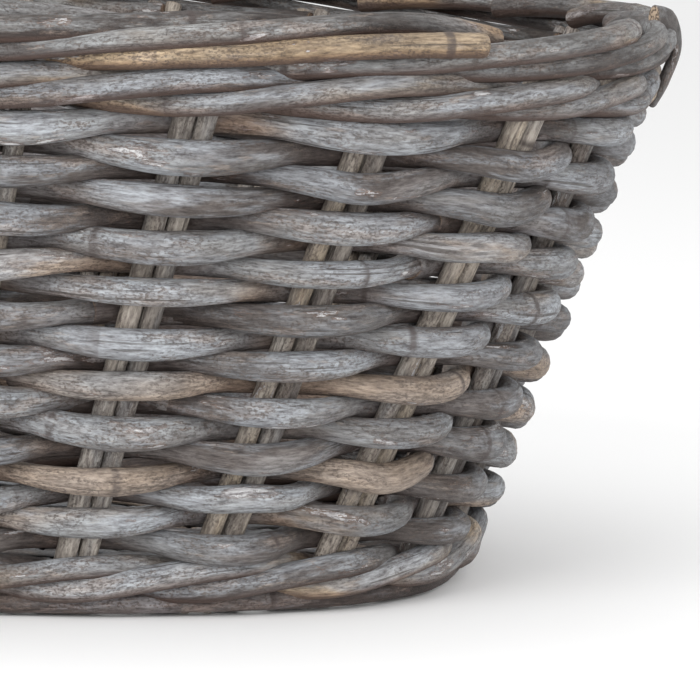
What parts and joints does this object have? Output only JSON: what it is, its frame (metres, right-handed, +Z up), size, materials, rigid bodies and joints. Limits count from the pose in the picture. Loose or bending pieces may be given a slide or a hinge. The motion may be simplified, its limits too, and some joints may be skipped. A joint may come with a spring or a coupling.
{
  "type": "wicker log basket",
  "caption": "Open tapered log basket of thick grey-washed rattan rods woven round paired upright stakes, with waled foot and rim and a rolled border.",
  "frame": {"origin": "centre of the base's flat underside, on the floor", "axes": "+X along the basket's length, -Y out of the long front wall, +Z up"},
  "size_m": [0.672, 0.492, 0.2054],
  "materials": {
    "weaver_rattan": "grey-washed, matte, worn in places",
    "stake_rattan": "grey and buff washed, matte",
    "band_rattan": "grey-washed with peeled bark, matte",
    "base_rattan": "grey-washed, matte"
  },
  "bodies": {
    "root": {"base_panel": "base_rattan", "stake_pair_01": "stake_rattan", "stake_pair_02": "stake_rattan", "stake_pair_03": "stake_rattan", "stake_pair_04": "stake_rattan", "stake_pair_05": "stake_rattan", "stake_pair_06": "stake_rattan", "stake_pair_07": "stake_rattan", "stake_pair_08": "stake_rattan", "stake_pair_09": "stake_rattan", "stake_pair_10": "stake_rattan", "stake_pair_11": "stake_rattan", "stake_pair_12": "stake_rattan", "stake_pair_13": "stake_rattan", "stake_pair_14": "stake_rattan", "stake_pair_15": "stake_rattan", "stake_pair_16": "stake_rattan", "stake_pair_17": "stake_rattan", "stake_pair_18": "stake_rattan", "stake_pair_19": "stake_rattan", "stake_pair_20": "stake_rattan", "stake_pair_21": "stake_rattan", "stake_pair_22": "stake_rattan", "stake_pair_23": "stake_rattan", "stake_pair_24": "stake_rattan", "stake_pair_25": "stake_rattan", "stake_pair_26": "stake_rattan", "stake_pair_27": "stake_rattan", "stake_pair_28": "stake_rattan", "stake_pair_29": "stake_rattan", "stake_pair_30": "stake_rattan", "weave_row_01": "weaver_rattan", "weave_row_02": "weaver_rattan", "weave_row_03": "weaver_rattan", "weave_row_04": "weaver_rattan", "weave_row_05": "weaver_rattan", "weave_row_06": "weaver_rattan", "weave_row_07": "weaver_rattan", "weave_row_08": "weaver_rattan", "weave_row_09": "weaver_rattan", "weave_row_10": "weaver_rattan", "weave_row_11": "weaver_rattan", "weave_row_12": "weaver_rattan", "weave_row_13": "weaver_rattan", "weave_row_14": "weaver_rattan", "weave_row_15": "weaver_rattan", "weave_row_16": "weaver_rattan", "weave_row_17": "weaver_rattan", "weave_row_18": "weaver_rattan", "weave_row_19": "weaver_rattan", "foot_rod_1": "band_rattan", "foot_rod_2": "band_rattan", "foot_rod_3": "band_rattan", "wale_rod_1": "band_rattan", "wale_rod_2": "band_rattan", "wale_rod_3": "band_rattan", "border_rod_1": "band_rattan", "border_rod_2": "band_rattan", "border_rod_3": "band_rattan"}
  },
  "joints": []
}
